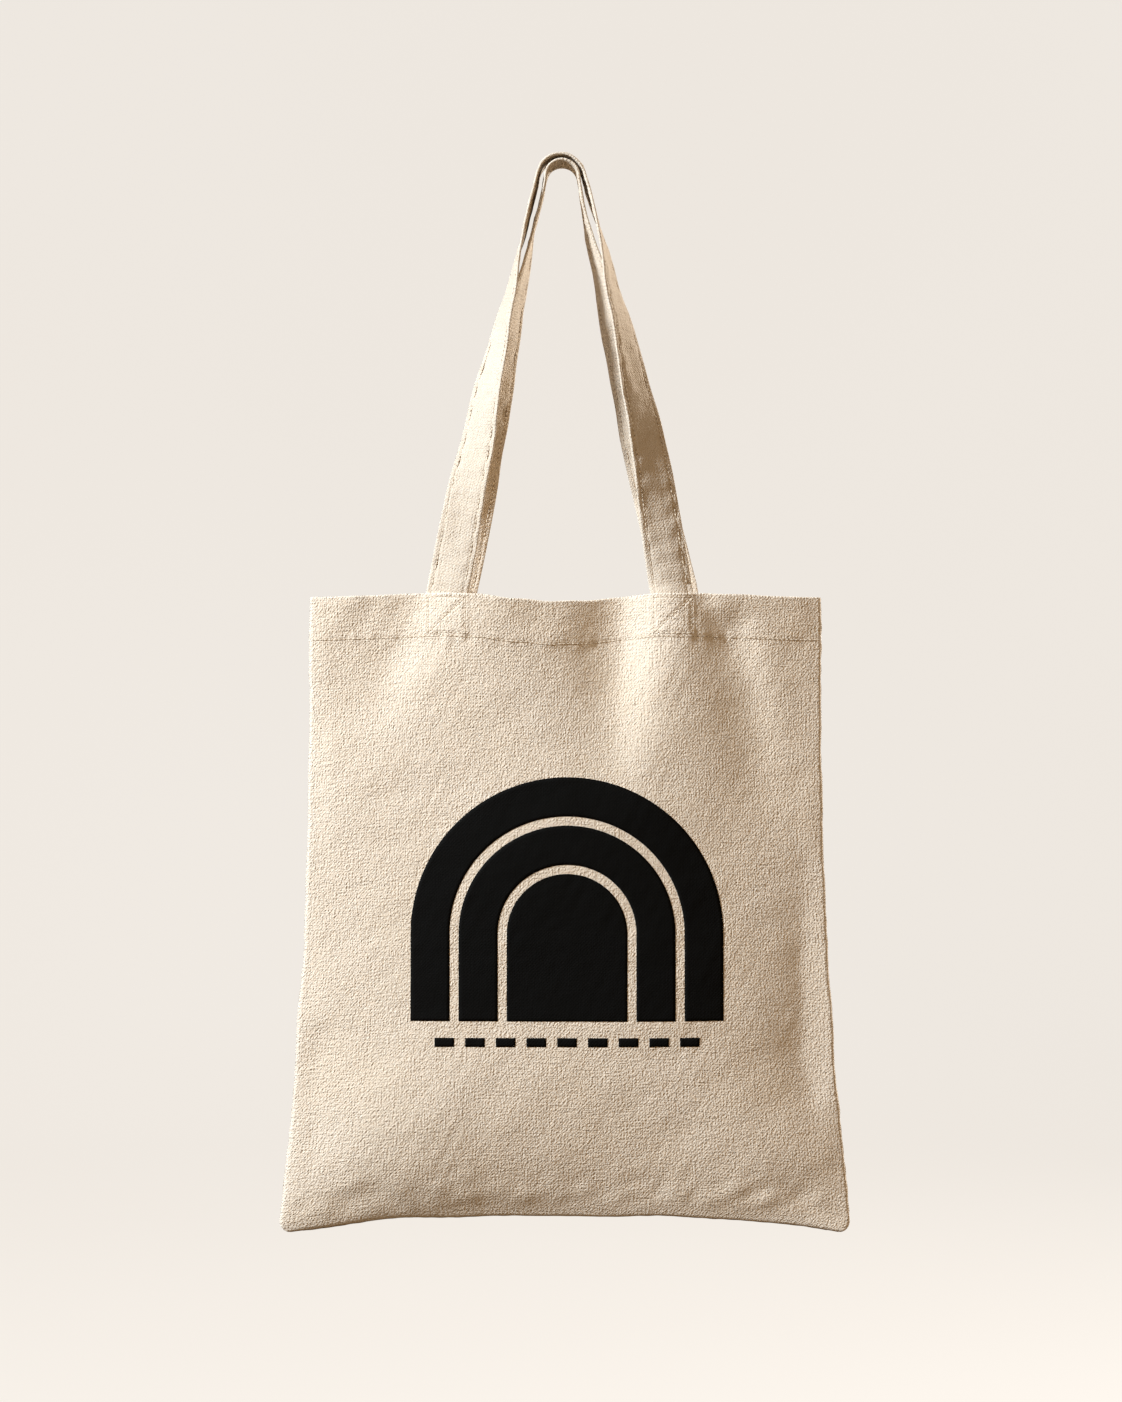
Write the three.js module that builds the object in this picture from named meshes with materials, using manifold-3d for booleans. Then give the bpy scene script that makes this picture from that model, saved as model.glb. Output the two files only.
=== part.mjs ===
// Canvas tote bag, hanging by its two handles from one hook.
// Millimetres, +Z up, the printed front faces -Y.
// The origin is where the hook carries the handles: the underside of the lower handle's crown.
import * as THREE from 'three';
import { mergeVertices } from 'three/addons/utils/BufferGeometryUtils.js';
import Module from 'manifold-3d';

const wasm = await Module();
wasm.setup();

// ---- driving dimensions --------------------------------------------------------------

// Outline of the hanging bag
const BAG_SHIFT = 3; // the bag hangs this far to the right of the hook
const RIM_HALF_WIDTH = 170.5;
const BOTTOM_FLARE = 21.5; // the bottom is wider than the rim by this much on each side
const FLARE_POWER = 2.6;
const RIM_Z = -290; // rim height at the side seams
const FOOT_LIFT = 2.5; // the handles pull the rim up by this much
const RIM_SAG = 5.5; // and it sags between them
const BOTTOM_Z = -704; // bottom edge at its middle
const CORNER_DROOP = 11; // the corners hang lower than the middle
const DROOP_POWER = 3;
const CORNER_RADIUS = 8;

// Depth of the nearly empty bag, for one panel
const RIM_DEPTH = 17;
const BELLY_DEPTH = 19;
const BELLY_AT = 0.45; // height of the fullest place, as a share of the way down
const BELLY_POWER = 4; // how late the panel turns in towards the bottom seam
const SIDE_POWER = 2.2; // and towards the side seams
const VALLEY_DEPTH = 5; // the panel dips back between the handles
const VALLEY_HALF_WIDTH = 0.4; // share of the half width
const VALLEY_LENGTH = 0.4; // share of the height

// Cloth layers
const CANVAS = 0.8;
const LAYER_GAP = 0.3;
const SEAM_THICKNESS = 1.4;
const SEAM_ALLOWANCE = 10;
const SEAM_PROUD = 0.6; // the folded edge shows past the panels
const HEM_DEPTH = 30;

// Handles
const STRAP_WIDTH = 28.5;
const STRAP_THICKNESS = 1.8;
const FOOT_X = 75; // from the middle of a handle to the middle of each of its sewn ends
const STRAP_FOOT_X = 74; // and to the middle of the strap just above the rim
const FRONT_SHIFT = -1; // the middle of the front handle, to the right of the hook
const BACK_SHIFT = 3.5;
const STRAP_FOOT_GAP = 4; // the free strap starts this far above the rim
const END_ABOVE_RIM = 2; // the sewn end stands this far above the rim
const HOOK_RADIUS = 9.7;
const CROWN_CLEARANCE = 3; // free space between the two crowns
const LEG_BEND_Z = -141.5; // half way down the legs

// Thread and ink
const THREAD_WIDTH = 0.8;
const THREAD_THICKNESS = 0.3;
const STITCH = 2.4; // the box stitching stops this short of a corner it has passed before
const HEM_STITCH_DROP = 28.8;
const EDGE_STITCH_INSET = 3.5;
const INK_THICKNESS = 0.2;
const INK_GAP = 0.25;

// ---- materials -----------------------------------------------------------------------

const canvas = { color: 0xd9c6a5, roughness: 0.95, metalness: 0 };
const thread = { color: 0xe6d8bd, roughness: 0.8, metalness: 0 };
const ink = { color: 0x121214, roughness: 0.85, metalness: 0 };

const bag = new THREE.Group();

function addPiece(name, geometry, finish) {
  const mesh = new THREE.Mesh(geometry, new THREE.MeshStandardMaterial(finish));
  mesh.name = name;
  bag.add(mesh);
}

// ---- geometry helpers ----------------------------------------------------------------

function smoothStep(t) {
  const s = THREE.MathUtils.clamp(t, 0, 1);
  return s * s * (3 - 2 * s);
}

const WELD_DISTANCE = 1e-4;

function weld(geometry) {
  geometry.deleteAttribute('normal');
  geometry.deleteAttribute('uv');
  return mergeVertices(geometry, WELD_DISTANCE);
}

function signedVolume(geometry) {
  const position = geometry.getAttribute('position');
  const corners = [new THREE.Vector3(), new THREE.Vector3(), new THREE.Vector3()];
  let volume = 0;
  for (let i = 0; i < geometry.index.count; i += 3) {
    corners.forEach((corner, k) => corner.fromBufferAttribute(position, geometry.index.getX(i + k)));
    volume += corners[0].dot(corners[1].clone().cross(corners[2])) / 6;
  }
  return volume;
}

// Mirrored pieces come out inside out, so their triangles are turned over.
function faceOut(geometry) {
  if (signedVolume(geometry) < 0) {
    const order = geometry.index.array;
    for (let i = 0; i < order.length; i += 3) {
      [order[i], order[i + 1]] = [order[i + 1], order[i]];
    }
  }
  return geometry;
}

// A thin slab whose points go where place(a, d, b) says: a runs across, d through the
// thickness and b along, each from 0 to 1.
function shapedSlab(across, along, place) {
  const geometry = weld(new THREE.BoxGeometry(1, 1, 1, across, 1, along));
  const position = geometry.getAttribute('position');
  for (let i = 0; i < position.count; i += 1) {
    const a = position.getX(i) + 0.5;
    const d = position.getY(i) + 0.5;
    const b = position.getZ(i) + 0.5;
    const point = place(a, d, b);
    position.setXYZ(i, point.x, point.y, point.z);
  }
  return faceOut(geometry);
}

function toSolid(geometry) {
  return new wasm.Manifold(new wasm.Mesh({
    numProp: 3,
    vertProperties: new Float32Array(geometry.getAttribute('position').array),
    triVerts: new Uint32Array(geometry.index.array),
  }));
}

function toGeometry(solid) {
  const mesh = solid.getMesh();
  const geometry = new THREE.BufferGeometry();
  geometry.setAttribute('position', new THREE.BufferAttribute(mesh.vertProperties, 3));
  geometry.setIndex(new THREE.BufferAttribute(mesh.triVerts, 1));
  return geometry;
}

// ---- the bag's surface ---------------------------------------------------------------
// u runs from -1 at the left seam to 1 at the right seam, v from 0 at the rim to 1 at the
// bottom. side is -1 for the front and 1 for the back.

function rimHeight(x) {
  const reach = Math.abs(x) / FOOT_X;
  if (reach < 1) {
    return RIM_Z + FOOT_LIFT - RIM_SAG * Math.cos((reach * Math.PI) / 2) ** 2;
  }
  const beyond = (Math.abs(x) - FOOT_X) / (RIM_HALF_WIDTH - FOOT_X);
  return RIM_Z + FOOT_LIFT * (1 - smoothStep(beyond));
}

function cornerCut(v) {
  const rise = CORNER_RADIUS - (1 - v) * (RIM_Z - BOTTOM_Z);
  return rise > 0 ? CORNER_RADIUS - Math.sqrt(CORNER_RADIUS ** 2 - rise ** 2) : 0;
}

function outlinePoint(u, v) {
  const halfWidth = RIM_HALF_WIDTH + BOTTOM_FLARE * Math.max(v, 0) ** FLARE_POWER - cornerCut(v);
  const top = rimHeight(BAG_SHIFT + u * RIM_HALF_WIDTH);
  const bottom = BOTTOM_Z - CORNER_DROOP * Math.abs(u) ** DROOP_POWER;
  return { x: BAG_SHIFT + u * halfWidth, z: top + v * (bottom - top) };
}

function bulge(u, v) {
  const fullness = v < BELLY_AT
    ? RIM_DEPTH + (BELLY_DEPTH - RIM_DEPTH) * smoothStep(v / BELLY_AT)
    : BELLY_DEPTH * (1 - ((v - BELLY_AT) / (1 - BELLY_AT)) ** BELLY_POWER);
  const acrossValley = Math.min(Math.abs(u) / VALLEY_HALF_WIDTH, 1);
  const downValley = 1 - Math.min(v / VALLEY_LENGTH, 1);
  const valley = VALLEY_DEPTH * Math.cos((acrossValley * Math.PI) / 2) ** 2 * downValley ** 2;
  return fullness * (1 - Math.abs(u) ** SIDE_POWER) - valley;
}

const PANEL_EDGE = SEAM_THICKNESS / 2 + LAYER_GAP + CANVAS;

function panelPoint(side, u, v, depth) {
  const { x, z } = outlinePoint(u, v);
  return new THREE.Vector3(x, side * (PANEL_EDGE + bulge(u, v) - depth), z);
}

// The same surface by distance from the hook's middle and drop below the rim, for pieces
// near the rim, where the outline is straight.
function hemPoint(side, x, drop, depth) {
  const u = (x - BAG_SHIFT) / RIM_HALF_WIDTH;
  const height = rimHeight(x) - BOTTOM_Z + CORNER_DROOP * Math.abs(u) ** DROOP_POWER;
  return panelPoint(side, u, drop / height, depth);
}

// ---- panels, hem and seams -----------------------------------------------------------

const PANEL_COLUMNS = 20;
const PANEL_BODY_ROWS = 14;
const CORNER_ANGLES = [30, 60, 90]; // degrees round each bottom corner
const BAG_HEIGHT = RIM_Z - BOTTOM_Z;
const HEM_SHARE = HEM_DEPTH / BAG_HEIGHT;

// Row heights: the hem, even rows down the body, then closer rows round the corners.
function panelRows() {
  const rows = [0, HEM_SHARE / 2];
  const cornerStart = 1 - CORNER_RADIUS / BAG_HEIGHT;
  for (let i = 0; i <= PANEL_BODY_ROWS; i += 1) {
    rows.push(HEM_SHARE + ((cornerStart - HEM_SHARE) * i) / PANEL_BODY_ROWS);
  }
  for (const angle of CORNER_ANGLES) {
    const rise = CORNER_RADIUS * Math.sin(THREE.MathUtils.degToRad(angle));
    rows.push(cornerStart + rise / BAG_HEIGHT);
  }
  return rows;
}

function makePanel(side) {
  const rows = panelRows();
  const last = rows.length - 1;
  return shapedSlab(PANEL_COLUMNS, last, (a, d, b) => (
    panelPoint(side, 2 * a - 1, rows[Math.round(b * last)], d * CANVAS)
  ));
}

const HEM_SEAM_GAP = 1; // between the turned hem's ends and the side seams

function makeHemTurn(side) {
  const inset = (SEAM_ALLOWANCE + HEM_SEAM_GAP) / RIM_HALF_WIDTH;
  const outer = CANVAS + LAYER_GAP;
  return shapedSlab(PANEL_COLUMNS, 2, (a, d, b) => (
    panelPoint(side, (2 * a - 1) * (1 - inset), b * HEM_SHARE, outer + d * CANVAS)
  ));
}

function seamPoint(u, v, d, across, down) {
  const { x, z } = outlinePoint(u, v);
  return new THREE.Vector3(x + across, (d - 0.5) * SEAM_THICKNESS, z - down);
}

const SEAM_CORNER_GAP = 3; // clears the rising bottom edge at the corner
const SIDE_SEAM_SHARE = 1 - (SEAM_ALLOWANCE + SEAM_CORNER_GAP) / BAG_HEIGHT;

function makeSideSeam(end) {
  return shapedSlab(1, PANEL_BODY_ROWS, (a, d, b) => (
    seamPoint(end, b * SIDE_SEAM_SHARE, d, end * (SEAM_PROUD - a * SEAM_ALLOWANCE), 0)
  ));
}

function makeBottomSeam() {
  const last = CORNER_ANGLES.length;
  const rows = panelRows().slice(-last - 1);
  rows[0] = 1 - SEAM_ALLOWANCE / BAG_HEIGHT;
  return shapedSlab(PANEL_COLUMNS, last, (a, d, b) => (
    seamPoint(2 * a - 1, rows[Math.round(b * last)], d, 0, b * SEAM_PROUD)
  ));
}

for (const [face, side] of [['front', -1], ['back', 1]]) {
  addPiece(`${face}_panel`, makePanel(side), canvas);
  addPiece(`${face}_hem_turn`, makeHemTurn(side), canvas);
}
addPiece('left_side_seam', makeSideSeam(-1), canvas);
addPiece('right_side_seam', makeSideSeam(1), canvas);
addPiece('bottom_seam', makeBottomSeam(), canvas);

// ---- sewn handle ends and the stitching on the hem ------------------------------------

const END_DEPTH = 2 * (CANVAS + LAYER_GAP); // the ends lie inside the turned hem
const BOX_TOP = 2.5;
const BOX_BOTTOM = 26.5;
const BOX_HALF_WIDTH = 12.5;
const END_PAST_BOX = 1; // the cloth goes this far below the box of stitching
const BOX_STITCH_STEPS = 4;
const HEM_STITCH_STEPS = 28;
const HEM_STITCH_GAP = 2; // from its ends to the side seams

function makeHandleEnd(side, x) {
  return shapedSlab(3, 2, (a, d, b) => hemPoint(
    side,
    x + (a - 0.5) * STRAP_WIDTH,
    -END_ABOVE_RIM + b * (BOX_BOTTOM + END_PAST_BOX + END_ABOVE_RIM),
    END_DEPTH + d * STRAP_THICKNESS,
  ));
}

// Half the thread's width at a corner between two directions, so that the edges stay
// parallel to the thread on both sides of it.
function mitre(before, after) {
  const asideBefore = new THREE.Vector2(-before.y, before.x);
  const asideAfter = new THREE.Vector2(-after.y, after.x);
  const middle = asideBefore.clone().add(asideAfter).normalize();
  return middle.multiplyScalar(THREAD_WIDTH / 2 / middle.dot(asideBefore));
}

// A line of thread on the panel through places given as [distance from the hook's middle,
// drop below the rim].
function threadRoute(side, corners, stepsPerLeg) {
  const points = corners.map(([x, drop]) => new THREE.Vector2(x, drop));
  const ways = points.slice(1).map((point, i) => point.clone().sub(points[i]).normalize());
  const places = [{ at: points[0], aside: mitre(ways[0], ways[0]) }];
  ways.forEach((way, i) => {
    for (let k = 1; k < stepsPerLeg; k += 1) {
      places.push({ at: points[i].clone().lerp(points[i + 1], k / stepsPerLeg), aside: mitre(way, way) });
    }
    places.push({ at: points[i + 1], aside: mitre(way, ways[i + 1] ?? way) });
  });
  const last = places.length - 1;
  return shapedSlab(1, last, (a, d, b) => {
    const { at, aside } = places[Math.round(b * last)];
    const place = at.clone().addScaledVector(aside, 2 * a - 1);
    return hemPoint(side, place.x, place.y, -LAYER_GAP - d * THREAD_THICKNESS);
  });
}

// A square of stitching with one diagonal, sewn in one go. Its two ends stop just short of
// the corners that they run up to.
function makeBoxStitch(side, x) {
  const left = x - BOX_HALF_WIDTH;
  const right = x + BOX_HALF_WIDTH;
  return threadRoute(side, [
    [left, BOX_BOTTOM - STITCH],
    [left, BOX_TOP],
    [right, BOX_TOP],
    [right, BOX_BOTTOM],
    [left, BOX_BOTTOM],
    [right - STITCH, BOX_TOP + STITCH],
  ], BOX_STITCH_STEPS);
}

function makeHemStitch(side) {
  const reach = RIM_HALF_WIDTH - HEM_STITCH_GAP;
  const ends = [[BAG_SHIFT - reach, HEM_STITCH_DROP], [BAG_SHIFT + reach, HEM_STITCH_DROP]];
  return threadRoute(side, ends, HEM_STITCH_STEPS);
}

for (const [face, side, shift] of [['front', -1, FRONT_SHIFT], ['back', 1, BACK_SHIFT]]) {
  addPiece(`${face}_hem_stitch`, makeHemStitch(side), thread);
  for (const [hand, x] of [['left', shift - FOOT_X], ['right', shift + FOOT_X]]) {
    addPiece(`${face}_${hand}_handle_end`, makeHandleEnd(side, x), canvas);
    addPiece(`${face}_${hand}_box_stitch`, makeBoxStitch(side, x), thread);
  }
}

// ---- handles -------------------------------------------------------------------------
// Each handle is one flat strap. It leaves the rim flat against the panel and makes a
// quarter turn on the way up, so that it lies flat on the hook.

const STRAP_FOOT_Z = RIM_Z + FOOT_LIFT + STRAP_FOOT_GAP;
const STRAP_FOOT_Y = PANEL_EDGE + bulge(FOOT_X / RIM_HALF_WIDTH, 0) - END_DEPTH - STRAP_THICKNESS / 2;
const LEG_STEPS = 16;
const CROWN_STEPS = 10;

const LOWER_CROWN = HOOK_RADIUS + STRAP_THICKNESS / 2;
const UPPER_CROWN = LOWER_CROWN + STRAP_THICKNESS + CROWN_CLEARANCE;
const LEG_BOW = 17; // the legs bend round a point this far off the middle plane
// The two legs of a handle don't hang quite alike: slope is sideways per height at the
// crown, and the quarter turn is complete at turnEnd.
const left = { hand: -1, turnEnd: -45 };
const right = { hand: 1, turnEnd: -25 };
const handles = {
  front: {
    side: -1,
    shift: FRONT_SHIFT,
    crownRadius: UPPER_CROWN,
    legs: [{ ...left, slope: 0.245 }, { ...right, slope: 0.285 }],
  },
  back: {
    side: 1,
    shift: BACK_SHIFT,
    crownRadius: LOWER_CROWN,
    legs: [{ ...left, slope: 0.225 }, { ...right, slope: 0.235 }],
  },
};

// One leg, from the rim to the crown. hand is -1 on the left and 1 on the right.
function legCurve({ side, shift, crownRadius }, { hand, slope }) {
  const tilt = Math.atan(slope);
  const topX = hand * crownRadius * Math.cos(tilt);
  const topZ = -HOOK_RADIUS + crownRadius * Math.sin(tilt);
  return new THREE.QuadraticBezierCurve3(
    new THREE.Vector3(hand * STRAP_FOOT_X + shift, side * STRAP_FOOT_Y, STRAP_FOOT_Z),
    new THREE.Vector3(topX + hand * slope * (topZ - LEG_BEND_Z), side * LEG_BOW, LEG_BEND_Z),
    new THREE.Vector3(topX, 0, topZ),
  );
}

// A place on the strap: its middle, the way on along it, and the way across it.
function legStation(handle, leg, t) {
  const { hand, turnEnd } = leg;
  const curve = legCurve(handle, leg);
  const centre = curve.getPoint(t);
  const upward = curve.getTangent(t);
  const turn = (Math.PI / 2) * Math.min((centre.z - STRAP_FOOT_Z) / (turnEnd - STRAP_FOOT_Z), 1);
  const squared = t > 0 ? upward.x : 0; // the lower end is cut level, along the rim
  const flat = new THREE.Vector3(-hand, 0, 0).addScaledVector(upward, hand * squared).normalize();
  const edgewise = flat.clone().cross(upward).multiplyScalar(hand * handle.side);
  const across = flat.multiplyScalar(Math.cos(turn)).addScaledVector(edgewise, Math.sin(turn));
  return { centre, along: upward.multiplyScalar(-hand), across };
}

function crownStation(handle, share) {
  const [start, end] = handle.legs.map(({ slope }) => Math.atan(slope));
  const angle = Math.PI - start - (Math.PI - start - end) * share;
  const radius = handle.crownRadius;
  return {
    centre: new THREE.Vector3(radius * Math.cos(angle), 0, radius * Math.sin(angle) - HOOK_RADIUS),
    along: new THREE.Vector3(Math.sin(angle), 0, -Math.cos(angle)),
    across: new THREE.Vector3(0, handle.side, 0),
  };
}

function strapStations(handle) {
  const [leftLeg, rightLeg] = handle.legs;
  const stations = [];
  for (let i = 0; i < LEG_STEPS; i += 1) {
    stations.push(legStation(handle, leftLeg, i / LEG_STEPS));
  }
  for (let i = 0; i <= CROWN_STEPS; i += 1) {
    stations.push(crownStation(handle, i / CROWN_STEPS));
  }
  for (let i = LEG_STEPS - 1; i >= 0; i -= 1) {
    stations.push(legStation(handle, rightLeg, i / LEG_STEPS));
  }
  return stations;
}

// A strip along the strap: from and to are places across it, measured from its middle, and
// low and high are heights over its middle layer, on the outer side.
function strapStrip(handle, columns, from, to, low, high) {
  const stations = strapStations(handle);
  const last = stations.length - 1;
  return shapedSlab(columns, last, (a, d, b) => {
    const { centre, along, across } = stations[Math.round(b * last)];
    const outward = across.clone().cross(along).multiplyScalar(-handle.side);
    return centre.clone()
      .addScaledVector(across, from + a * (to - from))
      .addScaledVector(outward, low + d * (high - low));
  });
}

for (const [face, handle] of Object.entries(handles)) {
  const half = STRAP_WIDTH / 2;
  const faceHeight = STRAP_THICKNESS / 2;
  addPiece(`${face}_handle_strap`, strapStrip(handle, 4, -half, half, -faceHeight, faceHeight), canvas);
  for (const [edge, sign] of [['inner', 1], ['outer', -1]]) {
    const middle = sign * (half - EDGE_STITCH_INSET);
    const low = faceHeight + LAYER_GAP;
    const row = strapStrip(
      handle, 1, middle - THREAD_WIDTH / 2, middle + THREAD_WIDTH / 2, low, low + THREAD_THICKNESS,
    );
    addPiece(`${face}_handle_${edge}_edge_stitch`, row, thread);
  }
}

// ---- the print -----------------------------------------------------------------------
// A plain motif of nested arches, solid at the heart, over a short line. It is cut from a
// thin film of ink that follows the front panel.

const PRINT_X = 4; // middle of the motif
const ARCH_BASE_Z = -572;
const ARCH_LEG = 58;
const ARCH_BAND = 26;
const ARCH_GAP = 6;
const OUTER_ARCH = 104; // outer radius
const LINE_Z = -589;
const LINE_HALF_WIDTH = 88;
const LINE_HEIGHT = 6;
const ARC_SEGMENTS = 16;

// The film has the panel's own rows and columns, so that it follows it everywhere.
const FILM_ROWS = { first: 5, count: 9 };
const FILM_COLUMNS = { first: 3, count: 14 };
const CUT_DEPTH = 60; // deeper than the whole bag

function inkFilm() {
  const rows = panelRows();
  return toSolid(shapedSlab(FILM_COLUMNS.count, FILM_ROWS.count, (a, d, b) => panelPoint(
    -1,
    (2 * (FILM_COLUMNS.first + a * FILM_COLUMNS.count)) / PANEL_COLUMNS - 1,
    rows[FILM_ROWS.first + Math.round(b * FILM_ROWS.count)],
    -INK_GAP - d * INK_THICKNESS,
  )));
}

function cutter(shape) {
  const geometry = weld(new THREE.ExtrudeGeometry(shape, {
    depth: CUT_DEPTH, bevelEnabled: false, curveSegments: ARC_SEGMENTS,
  }));
  geometry.rotateX(Math.PI / 2);
  return toSolid(faceOut(geometry));
}

function archShape(radius, inner) {
  const shape = new THREE.Shape();
  const top = ARCH_BASE_Z + ARCH_LEG;
  shape.moveTo(PRINT_X - radius, ARCH_BASE_Z);
  if (inner > 0) {
    shape.lineTo(PRINT_X - inner, ARCH_BASE_Z);
    shape.lineTo(PRINT_X - inner, top);
    shape.absarc(PRINT_X, top, inner, Math.PI, 0, true);
    shape.lineTo(PRINT_X + inner, ARCH_BASE_Z);
  }
  shape.lineTo(PRINT_X + radius, ARCH_BASE_Z);
  shape.lineTo(PRINT_X + radius, top);
  shape.absarc(PRINT_X, top, radius, 0, Math.PI, false);
  return shape;
}

function lineShape() {
  const shape = new THREE.Shape();
  shape.moveTo(PRINT_X - LINE_HALF_WIDTH, LINE_Z);
  shape.lineTo(PRINT_X + LINE_HALF_WIDTH, LINE_Z);
  shape.lineTo(PRINT_X + LINE_HALF_WIDTH, LINE_Z + LINE_HEIGHT);
  shape.lineTo(PRINT_X - LINE_HALF_WIDTH, LINE_Z + LINE_HEIGHT);
  return shape;
}

const film = inkFilm();
const middleArch = OUTER_ARCH - ARCH_BAND - ARCH_GAP;
const heart = middleArch - ARCH_BAND - ARCH_GAP;
const motif = {
  print_outer_arch: archShape(OUTER_ARCH, OUTER_ARCH - ARCH_BAND),
  print_middle_arch: archShape(middleArch, middleArch - ARCH_BAND),
  print_heart: archShape(heart, 0),
  print_line: lineShape(),
};
for (const [name, shape] of Object.entries(motif)) {
  addPiece(name, toGeometry(film.intersect(cutter(shape))), ink);
}

export default bag;
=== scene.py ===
import math

import bpy
import numpy as np
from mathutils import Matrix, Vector


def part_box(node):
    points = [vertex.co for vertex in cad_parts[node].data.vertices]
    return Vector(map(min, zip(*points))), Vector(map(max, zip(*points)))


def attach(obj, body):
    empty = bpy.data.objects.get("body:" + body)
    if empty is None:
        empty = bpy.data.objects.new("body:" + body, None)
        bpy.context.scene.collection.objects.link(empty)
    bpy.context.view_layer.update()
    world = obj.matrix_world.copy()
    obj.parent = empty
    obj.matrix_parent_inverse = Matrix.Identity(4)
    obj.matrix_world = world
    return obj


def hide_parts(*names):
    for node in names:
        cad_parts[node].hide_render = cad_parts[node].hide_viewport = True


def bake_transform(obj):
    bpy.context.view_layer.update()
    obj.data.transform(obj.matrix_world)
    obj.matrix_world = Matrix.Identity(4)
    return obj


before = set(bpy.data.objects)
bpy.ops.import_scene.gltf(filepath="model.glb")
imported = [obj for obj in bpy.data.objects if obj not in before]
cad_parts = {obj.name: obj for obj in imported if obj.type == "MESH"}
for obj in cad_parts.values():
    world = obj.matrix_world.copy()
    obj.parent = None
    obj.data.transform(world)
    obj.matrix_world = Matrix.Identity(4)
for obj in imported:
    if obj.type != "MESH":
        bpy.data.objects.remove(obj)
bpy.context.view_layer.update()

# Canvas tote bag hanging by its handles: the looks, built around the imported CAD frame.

# Everything below is worked out in millimetres and turned into metres where a mesh is made.
MM = 0.001


def box_mm(node):
    low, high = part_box(node)
    return np.array(low) / MM, np.array(high) / MM


# ---- sizes, from the frame where it holds them -----------

panel_low, panel_high = box_mm("front_panel")
strap_low, strap_high = box_mm("front_handle_strap")
motif_low, motif_high = box_mm("print_outer_arch")
line_low, line_high = box_mm("print_line")

# the outline from the front
BAG_SHIFT = (panel_low[0] + panel_high[0]) / 2
BOTTOM_FLARE = 21.5
FLARE_POWER = 2.6
RIM_HALF_WIDTH = 170.5
FOOT_LIFT = 2.5
RIM_Z = panel_high[2] - FOOT_LIFT
RIM_SAG = 5.5
CORNER_DROOP = 11.0
CORNER_RADIUS = 8.0
BOTTOM_Z = -704.0
HEIGHT = RIM_Z - BOTTOM_Z

# how far a panel stands out from the seams: at the rim, at its fullest, and how it falls off
RIM_DEPTH = 17.0
BELLY_DEPTH = 19.0
BELLY_AT = 0.45
BOTTOM_POWER = 4.2
BOTTOM_ROUND = 0.92
LEFT_CORNER_POWER = 3.5  # added to the bottom's power towards the left corner
SIDE_POWER = 2.2
CORNER_POWER = 2.2  # added to the side's power at the bottom, twice over on the left
CORNERS_AT = 0.68  # the corners' fullness starts here, as a share of the height
VALLEY_DEPTH = 2.25
VALLEY_HALF_WIDTH = 0.4
VALLEY_LENGTH = 0.4

# cloth, seams and hem
CANVAS = 0.8
LAYER_GAP = 0.3
SEAM_THICKNESS = 1.4
PANEL_EDGE = SEAM_THICKNESS / 2 + LAYER_GAP + CANVAS
HEM_DEPTH = 30.0
HEM_STITCH_DROP = 28.8

# handles
STRAP_WIDTH = 28.5
STRAP_HALF = STRAP_WIDTH / 2
STRAP_THICKNESS = 1.8
FOOT_X = 75.0
STRAP_FOOT_X = 74.0
FRONT_SHIFT = -1.0
BACK_SHIFT = 3.5
STRAP_FOOT_Z = strap_low[2]
HOOK_RADIUS = 9.7
LOWER_CROWN = HOOK_RADIUS + STRAP_THICKNESS / 2
UPPER_CROWN = strap_high[2] + HOOK_RADIUS - STRAP_THICKNESS / 2
LEG_BEND_Z = -141.5
LEG_BOW = 17.0
END_DEPTH = 2 * (CANVAS + LAYER_GAP)
END_LENGTH = 27.5
EDGE_STITCH = STRAP_HALF - 3.5

# stitches
BOX_TOP = 2.5
BOX_BOTTOM = 26.5
BOX_HALF_WIDTH = 12.5
BOX_MIDDLE = (BOX_TOP + BOX_BOTTOM) / 2
BOX_HALF_HEIGHT = (BOX_BOTTOM - BOX_TOP) / 2
STITCH_PITCH = 3.2
STITCH_LENGTH = 2.0
STITCH_RADIUS = 0.42
STITCH_SINK = 0.10  # thread sits this far into the cloth's face

FRONT, BACK = -1, 1
LEFT, RIGHT = -1, 1
SHIFT = {FRONT: FRONT_SHIFT, BACK: BACK_SHIFT}
NAME = {FRONT: "front", BACK: "back"}
HAND_NAME = {LEFT: "left", RIGHT: "right"}


# ---- camera ----------------------------------------------

CAMERA_PLACE = (0.0, -1.78, -0.3595)  # straight in front, as far off as the photograph's camera
CAMERA_LENS = 68.2


def make_camera():
    data = bpy.data.cameras.new("camera")
    data.lens = CAMERA_LENS
    data.sensor_width = 36
    data.clip_end = 60
    camera = bpy.data.objects.new("camera", data)
    camera.location = CAMERA_PLACE
    camera.rotation_euler = (math.pi / 2, 0, 0)
    bpy.context.scene.collection.objects.link(camera)
    bpy.context.scene.camera = camera


make_camera()


# ---- number helpers --------------------------------------

def smooth_step(t):
    s = np.clip(t, 0, 1)
    return s * s * (3 - 2 * s)


def bump_at(distance, width):
    return np.exp(-(distance / width) ** 2)


RIPPLE_WAVES = 14
RIPPLE_LENGTHS = (1.4, 3.2)  # shortest and longest wave, as shares of a bump's size


def ripple(x, z, size, seed, stretch=1.0):
    """A smooth random field about 1 high, with bumps of the given size, longer along x if
    stretch is over 1."""
    rng = np.random.RandomState(seed)
    total = np.zeros(np.broadcast(x, z).shape)
    for _ in range(RIPPLE_WAVES):
        angle = rng.uniform(0, 2 * math.pi)
        number = 2 * math.pi / (size * rng.uniform(*RIPPLE_LENGTHS))
        phase = rng.uniform(0, 2 * math.pi)
        total += np.sin(number * (math.cos(angle) * x / stretch + math.sin(angle) * z) + phase)
    return total / math.sqrt(RIPPLE_WAVES / 2)


# ---- the bag's surface -----------------------------------
# u runs from -1 at the left seam to 1 at the right seam, v from 0 at the rim to 1 at the
# bottom, as in the design.

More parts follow.
